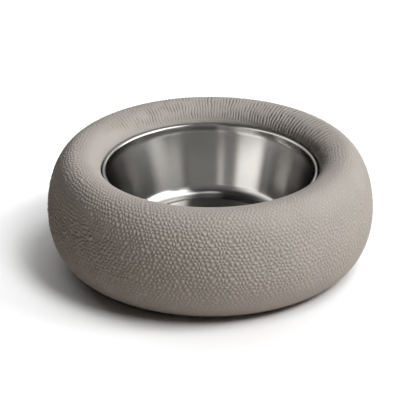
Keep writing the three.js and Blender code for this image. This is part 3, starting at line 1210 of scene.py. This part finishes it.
@dataclass
class SteelBowl(Piece):
    """The drop-in bowl: one drawn sheet with a rolled rim."""

    name = "brushed_bowl"
    body = Body.BOWL
    slot = Slot.BOWL
    nodes = ("bowl",)

    sheet: float = 0.9 * MM
    bead_radius: float = 1.5 * MM
    curl_end_deg: float = -85.0
    collar_height: float = 4.0 * MM
    collar_ease: float = 1.5 * MM
    collar_end: float = 1.0 * MM
    taper_deg: float = 15.0
    fillet: float = 9.5 * MM
    trough_width: float = 1.5 * MM
    trough_ease: float = 0.6 * MM
    floor_step: float = 1.2 * MM
    floor_step_width: float = 3.0 * MM
    floor_ease: float = 1.2 * MM
    floor_rings: int = 10
    wall_rings: int = 8
    fillet_steps: int = 20
    bead_steps: int = 20
    segments: int = 256

    def face(self, offset: float) -> Section:
        """Traces one face of the sheet from the middle of the floor up to the bead.

        Args:
            offset: How far outside the inner face it lies.

        Returns:
            The open section of that face.
        """
        inner = self.sizes.rim_radius - 2.0 * self.bead_radius
        rim = self.sizes.rim_top - self.bead_radius
        floor = self.sizes.bowl_underside + self.sheet
        taper = math.radians(self.taper_deg)
        collar = rim - self.collar_height
        fillet_height = floor + self.fillet
        wall_at_fillet = inner - (collar - fillet_height) * math.tan(taper)
        fillet_radius = wall_at_fillet - self.fillet / math.cos(taper)
        fillet = self.fillet + offset
        step_radius = fillet_radius - self.trough_width
        flat_radius = step_radius - 2.0 * self.floor_step_width
        plateau = floor + self.floor_step - offset
        section = Section()
        for ring in range(self.floor_rings):
            section.corner(flat_radius * ring / self.floor_rings, plateau)
        section.corner(step_radius - self.floor_step_width, plateau, self.floor_ease)
        section.corner(step_radius, floor - offset, self.trough_ease)
        section.arc((fillet_radius, fillet_height), fillet, fillet, -90.0, -self.taper_deg, self.fillet_steps)
        start_radius, start_height = section.corners[-1][0]
        bend_radius = inner + offset
        bend_height = collar - offset * math.tan(taper / 2.0)
        for ring in range(1, self.wall_rings):
            share = ring / self.wall_rings
            section.corner(start_radius + (bend_radius - start_radius) * share,
                           start_height + (bend_height - start_height) * share)
        section.corner(bend_radius, bend_height, self.collar_ease)
        section.corner(bend_radius, rim - self.collar_end)
        return section

    def mesh(self) -> bpy.types.Mesh:
        """Makes the drawn sheet with its rolled rim.

        Returns:
            The mesh of the sheet, from the middle of its underside round the rim to that of its floor.
        """
        centre = (self.sizes.rim_radius - self.bead_radius, self.sizes.rim_top - self.bead_radius)
        curl = self.bead_radius - self.sheet
        section = self.face(self.sheet)
        section.arc(centre, curl, curl, 180.0, self.curl_end_deg, self.bead_steps)
        section.arc(centre, self.bead_radius, self.bead_radius, self.curl_end_deg, 180.0, self.bead_steps)
        section.corners.extend(reversed(self.face(0.0).corners))
        return turned_mesh("brushed_bowl", section.outline(), self.segments)

    def finish(self) -> Finish:
        """Gives the bowl's finish."""
        return BrushedSteel()


@dataclass
class SeatRing(Piece):
    """The silicone ring under the bowl's bead."""

    name = "silicone_seat"
    body = Body.SEAT
    slot = Slot.SEAT
    nodes = ("seat_ring",)

    inner_radius: float = 78.2 * MM
    ease: float = 0.35 * MM
    segments: int = 192

    def mesh(self) -> bpy.types.Mesh:
        """Makes the ring.

        Returns:
            The ring's mesh.
        """
        outer, bottom, top = self.sizes.ring_radius, self.sizes.ring_bottom, self.sizes.ring_top
        section = Section(
            (self.inner_radius, bottom, self.ease),
            (outer, bottom, self.ease),
            (outer, top, self.ease),
            (self.inner_radius, top, self.ease),
        )
        return turned_mesh("silicone_seat", section.outline(), self.segments)

    def finish(self) -> Finish:
        """Gives the ring's finish."""
        return MatteRubber("seat_silicone", (0.045, 0.042, 0.04), roughness=0.7)


@dataclass
class WellFrame(Piece):
    """The stiff frame inside the cover: a tube with two flanges and ribbed screw bosses."""

    name = "moulded_frame"
    slot = Slot.FRAME
    nodes = ("well_frame",)

    tube_inner: float = 77.9 * MM
    tube_outer: float = 80.4 * MM
    seat_flange_radius: float = 85.0 * MM
    flange: float = 2.5 * MM
    base_flange_bottom: float = 7.7 * MM
    boss_radius: float = 4.2 * MM
    boss_top: float = 21.8 * MM
    hole_radius: float = 2.3 * MM
    hole_top: float = 18.8 * MM
    hole_sides: int = 24
    rib_thickness: float = 2.5 * MM
    rib_top: float = 56.8 * MM
    # How far the ribs run into the tube, and how far above the lower flange's underside they start
    rib_root: float = 1.0 * MM
    rib_lift: float = 1.5 * MM
    ease: float = 0.4 * MM
    segments: int = 192

    def mesh(self) -> bpy.types.Mesh:
        """Makes the turned tube and its flanges.

        Returns:
            Their mesh, still without bosses and ribs.
        """
        top, bottom, plate = self.sizes.frame_top, self.sizes.frame_bottom, self.sizes.plate_radius
        seat_bottom = top - self.flange
        flange_top = self.base_flange_bottom + self.flange
        section = Section(
            (self.tube_inner, bottom, self.ease),
            (self.tube_outer, bottom, self.ease),
            (self.tube_outer, self.base_flange_bottom),
            (plate, self.base_flange_bottom, self.ease),
            (plate, flange_top, self.ease),
            (self.tube_outer, flange_top, self.ease),
            (self.tube_outer, seat_bottom, self.ease),
            (self.seat_flange_radius, seat_bottom, self.ease),
            (self.seat_flange_radius, top, self.ease),
            (self.tube_inner, top, self.ease),
        )
        return turned_mesh("well_frame_tube", section.outline(), self.segments)

    def finish(self) -> Finish:
        """Gives the frame's finish."""
        return MouldedPlastic("frame_plastic", (0.07, 0.065, 0.06))

    def tree(self) -> ShapeTree:
        """Builds the tree that fuses a ring of ribbed bosses to the tube and bores them.

        Returns:
            The tree, with its values.
        """
        tree = ShapeTree("ribbed_bosses", {
            "Count": FASTENERS,
            "Circle": self.sizes.fastener_circle,
            "Boss Radius": self.boss_radius,
            "Boss Bottom": self.sizes.frame_bottom,
            "Boss Top": self.boss_top,
            "Hole Radius": self.hole_radius,
            "Hole Top": self.hole_top,
            "Rib Start": self.tube_outer - self.rib_root,
            "Rib Bottom": self.base_flange_bottom + self.rib_lift,
            "Rib Top": self.rib_top,
            "Rib Thickness": self.rib_thickness,
        })
        given = tree.given
        boss_height = tree.math("SUBTRACT", given["Boss Top"], given["Boss Bottom"])
        boss_middle = tree.midway(given["Boss Bottom"], given["Boss Top"])
        boss = tree.rod(given["Boss Radius"], boss_height, boss_middle)
        hole_middle = tree.math("MULTIPLY", given["Hole Top"], 0.5)
        hole = tree.rod(given["Hole Radius"], given["Hole Top"], hole_middle, self.hole_sides)
        rib_length = tree.math("SUBTRACT", given["Circle"], given["Rib Start"])
        rib_height = tree.math("SUBTRACT", given["Rib Top"], given["Rib Bottom"])
        rib_height_middle = tree.midway(given["Rib Bottom"], given["Rib Top"])
        rib_middle = tree.joined(x=tree.math("MULTIPLY", rib_length, -0.5), z=rib_height_middle)
        rib = tree.box(rib_length, given["Rib Thickness"], rib_height, rib_middle)
        ribbed = tree.united(given["Mesh"], tree.ring(boss), tree.ring(rib))
        tree.finish(tree.cut(ribbed, tree.ring(hole)))
        return tree


@dataclass
class BasePlate(Piece):
    """The disc that closes the base, with countersunk holes for the screws and round ones for the feet."""

    name = "moulded_plate"
    slot = Slot.PLATE
    nodes = ("base_plate",)

    thickness: float = 2.5 * MM
    dish_radius: float = 72.5 * MM
    dish_slope: float = 4.0 * MM
    dish_rise: float = 2.0 * MM
    dish_ease: float = 1.2 * MM
    head_hole_radius: float = 4.1 * MM
    head_land: float = 0.3 * MM
    shank_hole_radius: float = 2.3 * MM
    foot_hole_radius: float = 3.1 * MM
    ease: float = 0.4 * MM
    segments: int = 192

    # Length of a cutter that goes right through, in thicknesses of the plate
    THROUGH: ClassVar[float] = 3.0

    def mesh(self) -> bpy.types.Mesh:
        """Makes the turned disc with its raised middle.

        Returns:
            The disc's mesh, still without holes.
        """
        bottom, edge = self.sizes.plate_bottom, self.sizes.plate_radius
        top = bottom + self.thickness
        slope_end = self.dish_radius - self.dish_slope
        section = Section(
            (0.0, bottom + self.dish_rise),
            (slope_end, bottom + self.dish_rise, self.dish_ease),
            (self.dish_radius, bottom, self.dish_ease),
            (edge, bottom, self.ease),
            (edge, top, self.ease),
            (self.dish_radius, top, self.dish_ease),
            (slope_end, top + self.dish_rise, self.dish_ease),
            (0.0, top + self.dish_rise),
        )
        return turned_mesh("base_plate_disc", section.outline(), self.segments)

    def finish(self) -> Finish:
        """Gives the plate's finish."""
        return MouldedPlastic("plate_plastic", (0.105, 0.098, 0.09))

    def tree(self) -> ShapeTree:
        """Builds the tree that cuts a ring of countersunk holes and a ring of plain ones between them.

        Returns:
            The tree, with its values.
        """
        tree = ShapeTree("plate_holes", {
            "Count": FASTENERS,
            "Circle": self.sizes.fastener_circle,
            "Bottom": self.sizes.plate_bottom,
            "Thickness": self.thickness,
            "Head Radius": self.head_hole_radius,
            "Head Land": self.head_land,
            "Shank Radius": self.shank_hole_radius,
            "Foot Radius": self.foot_hole_radius,
        })
        given = tree.given
        half_step = tree.math("DIVIDE", math.pi, given["Count"])
        deep = tree.math("MULTIPLY", given["Thickness"], self.THROUGH)
        sink = tree.math("SUBTRACT", given["Head Radius"], given["Shank Radius"])
        land_height = tree.math("MULTIPLY", given["Head Land"], 2.0)
        screw_cutters = (
            tree.rod(given["Shank Radius"], deep, 0.0),
            tree.cone(given["Head Radius"], given["Shank Radius"], sink, given["Head Land"]),
            tree.rod(given["Head Radius"], land_height, 0.0),
        )
        screw_holes = [tree.ring(cutter, given["Bottom"]) for cutter in screw_cutters]
        foot_holes = tree.ring(tree.rod(given["Foot Radius"], deep, 0.0), given["Bottom"], half_step)
        tree.finish(tree.cut(given["Mesh"], *screw_holes, foot_holes))
        return tree


@dataclass
class Feet(Piece):
    """The ring of push-in rubber feet."""

    name = "rubber_feet"
    slot = Slot.FOOT
    nodes = tuple(f"foot_{number + 1}" for number in range(FASTENERS))

    pad_ease: float = 0.7 * MM
    pad_top_ease: float = 0.25 * MM
    pad_gap: float = 0.2 * MM
    neck_radius: float = 2.8 * MM
    head_radius: float = 4.2 * MM
    head_bottom: float = 4.5 * MM
    head_height: float = 1.8 * MM
    head_ease: float = 0.3 * MM
    head_top_ease: float = 0.5 * MM
    segments: int = 48

    def mesh(self) -> bpy.types.Mesh:
        """Makes one foot on the axis, with its pad on the floor.

        Returns:
            The foot's mesh.
        """
        pad = self.sizes.foot_radius
        pad_top = self.sizes.plate_bottom - self.pad_gap
        head_top = self.head_bottom + self.head_height
        section = Section(
            (0.0, 0.0),
            (pad, 0.0, self.pad_ease),
            (pad, pad_top, self.pad_top_ease),
            (self.neck_radius, pad_top),
            (self.neck_radius, self.head_bottom),
            (self.head_radius, self.head_bottom, self.head_ease),
            (self.neck_radius, head_top, self.head_top_ease),
            (0.0, head_top),
        )
        return turned_mesh("foot_form", section.outline(), self.segments)

    def finish(self) -> Finish:
        """Gives the feet's finish."""
        return MatteRubber("foot_rubber", (0.025, 0.024, 0.023))

    def tree(self) -> ShapeTree:
        """Builds the tree that repeats the foot round the axis, between the screws.

        Returns:
            The tree, with its values.
        """
        tree = ShapeTree("foot_ring", {
            "Count": FASTENERS,
            "Circle": self.sizes.fastener_circle,
            "Start": math.pi / FASTENERS,
        })
        tree.finish(tree.ring(tree.given["Mesh"], start=tree.given["Start"]))
        return tree


@dataclass
class BaseScrews(Piece):
    """The ring of countersunk screws with a cross recess."""

    name = "plate_screws"
    slot = Slot.SCREW
    nodes = tuple(f"base_screw_{number + 1}" for number in range(FASTENERS))

    radius: float = 2.0 * MM
    head_land: float = 0.3 * MM
    tip: float = 2.0 * MM
    face_ease: float = 0.12 * MM
    land_ease: float = 0.1 * MM
    shank_ease: float = 0.3 * MM
    recess_length: float = 4.2 * MM
    recess_width: float = 0.9 * MM
    recess_depth: float = 1.1 * MM
    segments: int = 48

    def mesh(self) -> bpy.types.Mesh:
        """Makes one screw on the axis, with the face of its head at height 0.

        Returns:
            The screw's mesh, still without its recess.
        """
        length = self.sizes.screw_tip - self.sizes.plate_bottom
        head = self.sizes.screw_head_radius
        section = Section(
            (0.0, 0.0),
            (head, 0.0, self.face_ease),
            (head, self.head_land, self.land_ease),
            (self.radius, self.head_land + head - self.radius, self.shank_ease),
            (self.radius, length - self.tip, self.shank_ease),
            (0.0, length),
        )
        return turned_mesh("screw_form", section.outline(), self.segments)

    def finish(self) -> Finish:
        """Gives the screws' finish."""
        return ZincPlate()

    def tree(self) -> ShapeTree:
        """Builds the tree that cuts the cross recess and repeats the screw round the axis.

        Returns:
            The tree, with its values.
        """
        tree = ShapeTree("recessed_screws", {
            "Count": FASTENERS,
            "Circle": self.sizes.fastener_circle,
            "Height": self.sizes.plate_bottom,
            "Recess Length": self.recess_length,
            "Recess Width": self.recess_width,
            "Recess Depth": self.recess_depth,
        })
        given = tree.given
        deep = tree.math("MULTIPLY", given["Recess Depth"], 2.0)
        slot = tree.box(given["Recess Length"], given["Recess Width"], deep)
        across = tree.box(given["Recess Width"], given["Recess Length"], deep)
        tree.finish(tree.ring(tree.cut(given["Mesh"], slot, across), given["Height"]))
        return tree


# Studio


def direction(azimuth_deg: float, elevation_deg: float) -> Vector:
    """Gives a direction by its two angles.

    Args:
        azimuth_deg: Angle round from the rear towards the right.
        elevation_deg: Angle above the horizon.

    Returns:
        A vector of length 1.
    """
    azimuth, elevation = math.radians(azimuth_deg), math.radians(elevation_deg)
    level = math.cos(elevation)
    return Vector((level * math.sin(azimuth), level * math.cos(azimuth), math.sin(elevation)))


@dataclass(frozen=True)
class SoftBox:
    """A soft-edged light panel far out in the room, given by its directions as seen from the object."""

    azimuth_deg: float
    half_width_deg: float
    low_deg: float
    high_deg: float
    low_strength: float
    high_strength: float
    edge_deg: float

    def glow(self, graph: Graph, azimuth: Socket, elevation: Socket) -> Socket:
        """Builds the panel's brightness.

        Args:
            graph: The room's tree.
            azimuth: Angle round from the rear towards the right.
            elevation: Angle above the horizon.

        Returns:
            The brightness in each direction.
        """
        half_edge = math.radians(self.edge_deg) / 2.0
        half_width = math.radians(self.half_width_deg)
        low = math.radians(self.low_deg)
        high = math.radians(self.high_deg)
        turn = graph.math("SUBTRACT", azimuth, math.radians(self.azimuth_deg))
        wrapped = graph.add("ShaderNodeMath", {0: turn, 1: math.pi, 2: -math.pi}, operation="WRAP").outputs[0]
        off = graph.math("ABSOLUTE", wrapped)
        beside = graph.ramp(off, half_width - half_edge, half_width + half_edge, 1.0, 0.0)
        above = graph.ramp(elevation, low - half_edge, low + half_edge)
        below = graph.ramp(elevation, high - half_edge, high + half_edge, 1.0, 0.0)
        strength = graph.ramp(elevation, low, high, self.low_strength, self.high_strength)
        upright = graph.math("MULTIPLY", above, below)
        return graph.math("MULTIPLY", graph.math("MULTIPLY", beside, strength), upright)


class Lit(Enum):
    """What a lamp lights: the part, or the floor with the part's shadow on it."""

    PART = "part"
    FLOOR = "floor"


@dataclass(frozen=True)
class Lamp:
    """A soft lamp far out in the room. It lights the surfaces, and the panels show in the gloss instead."""

    name: str
    azimuth_deg: float
    elevation_deg: float
    spread_deg: float
    strength: float
    lit: Lit = Lit.PART

    def hang(self, receivers: bpy.types.Collection) -> None:
        """Puts the lamp into the scene.

        Args:
            receivers: What its light falls on.
        """
        light = bpy.data.lights.new(self.name, "SUN")
        light.energy = self.strength
        light.angle = math.radians(self.spread_deg)
        lamp = bpy.data.objects.new(self.name, light)
        source = direction(self.azimuth_deg, self.elevation_deg)
        lamp.rotation_euler = source.to_track_quat("Z", "Y").to_euler()
        lamp.visible_glossy = False
        lamp.light_linking.receiver_collection = receivers
        bpy.context.scene.collection.objects.link(lamp)


@dataclass
class Studio:
    """The pale floor, the room with its light panels, and the camera."""

    floor_size: float = 12.0
    floor_colour: Colour = (0.96, 0.96, 0.96)
    floor_bounce: Colour = (0.455, 0.41, 0.37)
    floor_roughness: float = 0.9
    floor_gloss: float = 0.1
    lamps: tuple[Lamp, ...] = (
        Lamp("key", 120.0, 40.0, 16.0, 1.22),
        Lamp("side", 95.0, 55.0, 16.0, 1.79),
        Lamp("rear_side", 70.0, 55.0, 16.0, 0.45),
        Lamp("low_front", 150.0, 25.0, 16.0, 0.5),
        Lamp("floor_side", 90.0, 40.0, 20.0, 1.03, Lit.FLOOR),
        Lamp("floor_top", 90.0, 70.0, 20.0, 1.05, Lit.FLOOR),
        Lamp("floor_front", 120.0, 55.0, 20.0, 1.3, Lit.FLOOR),
        Lamp("floor_rear", 0.0, 40.0, 90.0, 1.82, Lit.FLOOR),
    )
    panels: tuple[SoftBox, ...] = (
        SoftBox(92.0, 30.0, 10.0, 76.0, 4.9, 1.4, 22.0),
        SoftBox(70.0, 40.0, 50.0, 80.0, 1.3, 2.3, 12.0),
        SoftBox(122.0, 18.0, 46.0, 64.0, 3.9, 2.8, 10.0),
        SoftBox(-100.0, 36.0, 6.0, 46.0, 2.2, 1.2, 30.0),
        SoftBox(0.0, 55.0, 15.0, 55.0, 0.75, 0.55, 20.0),
        SoftBox(25.0, 7.0, 15.0, 60.0, 1.25, 1.25, 8.0),
        SoftBox(141.0, 8.0, 15.0, 45.0, 0.2, 0.8, 10.0),
        SoftBox(180.0, 45.0, 0.0, 58.0, 0.25, 0.12, 12.0),
        SoftBox(0.0, 180.0, 84.0, 95.0, 1.4, 1.4, 6.0),
    )
    room: float = 0.05
    camera_distance: float = 1.565
    camera_azimuth_deg: float = 180.0
    camera_elevation_deg: float = 26.31
    camera_aim: tuple[float, float, float] = (-1.57 * MM, 0.0, 36.6 * MM)
    camera_lens: float = 183.4
    camera_sensor: float = 36.0

    @staticmethod
    def shown(graph: Graph) -> Socket:
        """Tells what is looked at from what only lights.

        Args:
            graph: The tree to build in.

        Returns:
            1 where it is seen, mirrored or looked through, and 0 where it only lights.
        """
        path = graph.add("ShaderNodeLightPath").outputs
        seen = graph.math("MAXIMUM", path["Is Camera Ray"], path["Is Glossy Ray"])
        return graph.math("MAXIMUM", seen, path["Is Transmission Ray"])

    def floor(self) -> bpy.types.Object:
        """Lays the floor.

        Returns:
            The floor.
        """
        half = self.floor_size / 2.0
        mesh = bpy.data.meshes.new("pale_floor")
        corners = [(-half, -half, 0.0), (half, -half, 0.0), (half, half, 0.0), (-half, half, 0.0)]
        mesh.from_pydata(corners, [], [(0, 1, 2, 3)])
        surface = Surface("pale_floor")
        colour = surface.tint(self.shown(surface), toned(self.floor_bounce), toned(self.floor_colour))
        surface.set(Base_Color=colour, Roughness=self.floor_roughness, Specular_IOR_Level=self.floor_gloss)
        mesh.materials.append(surface.material)
        floor = new_object("pale_floor", mesh)
        return floor

    @staticmethod
    def receivers(floor: bpy.types.Object) -> dict[Lit, bpy.types.Collection]:
        """Makes the two groups of things to light: the floor alone, and all but the floor.

        Args:
            floor: The floor.

        Returns:
            The group that each kind of lamp lights.
        """
        groups = {}
        for lit, state in ((Lit.FLOOR, "INCLUDE"), (Lit.PART, "EXCLUDE")):
            groups[lit] = bpy.data.collections.new(f"{lit.value}_light")
            groups[lit].objects.link(floor)
            groups[lit].collection_objects[0].light_linking.link_state = state
        return groups

    def world(self) -> None:
        """Makes the room: light panels in the dim, and white where the camera looks past the floor."""
        world = bpy.data.worlds.new("studio")
        world.use_nodes = True
        bpy.context.scene.world = world
        graph = Graph(world.node_tree)
        world.node_tree.nodes.clear()
        parts = graph.parts(graph.add("ShaderNodeTexCoord").outputs["Generated"])
        azimuth = graph.math("ARCTAN2", parts["X"], parts["Y"])
        elevation = graph.math("ARCSINE", parts["Z"])
        light: Any = self.room
        for panel in self.panels:
            light = graph.math("ADD", panel.glow(graph, azimuth, elevation), light)
        camera_ray = graph.add("ShaderNodeLightPath").outputs["Is Camera Ray"]
        mirrored = graph.math("MULTIPLY", self.shown(graph), light)
        strength = graph.blend(camera_ray, mirrored, 1.0)
        background = graph.add("ShaderNodeBackground", {"Color": (1.0, 1.0, 1.0, 1.0), "Strength": strength})
        graph.add("ShaderNodeOutputWorld", {"Surface": background.outputs[0]})

    def camera(self) -> None:
        """Sets up the camera at the photograph's angle."""
        lens = bpy.data.cameras.new("camera")
        lens.lens = self.camera_lens
        lens.sensor_width = self.camera_sensor
        away = direction(self.camera_azimuth_deg, self.camera_elevation_deg)
        camera = bpy.data.objects.new("camera", lens)
        camera.location = Vector(self.camera_aim) + away * self.camera_distance
        camera.rotation_euler = away.to_track_quat("Z", "Y").to_euler()
        bpy.context.scene.collection.objects.link(camera)
        bpy.context.scene.camera = camera

    def build(self) -> None:
        """Builds the whole studio."""
        self.camera()
        receivers = self.receivers(self.floor())
        self.world()
        for lamp in self.lamps:
            lamp.hang(receivers[lamp.lit])
        bpy.context.scene.view_settings.view_transform = "Standard"


def main() -> None:
    """Loads the frame, builds every piece round it and notes the sizes."""
    logging.basicConfig(level=logging.INFO, format="%(name)s: %(message)s")
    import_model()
    sizes = FrameSizes.read()
    Studio().build()
    for sub_assembly in (BodyCover, SteelBowl, SeatRing, WellFrame, BasePlate, Feet, BaseScrews):
        sub_assembly(sizes).build()


if __name__ == "__main__":
    main()
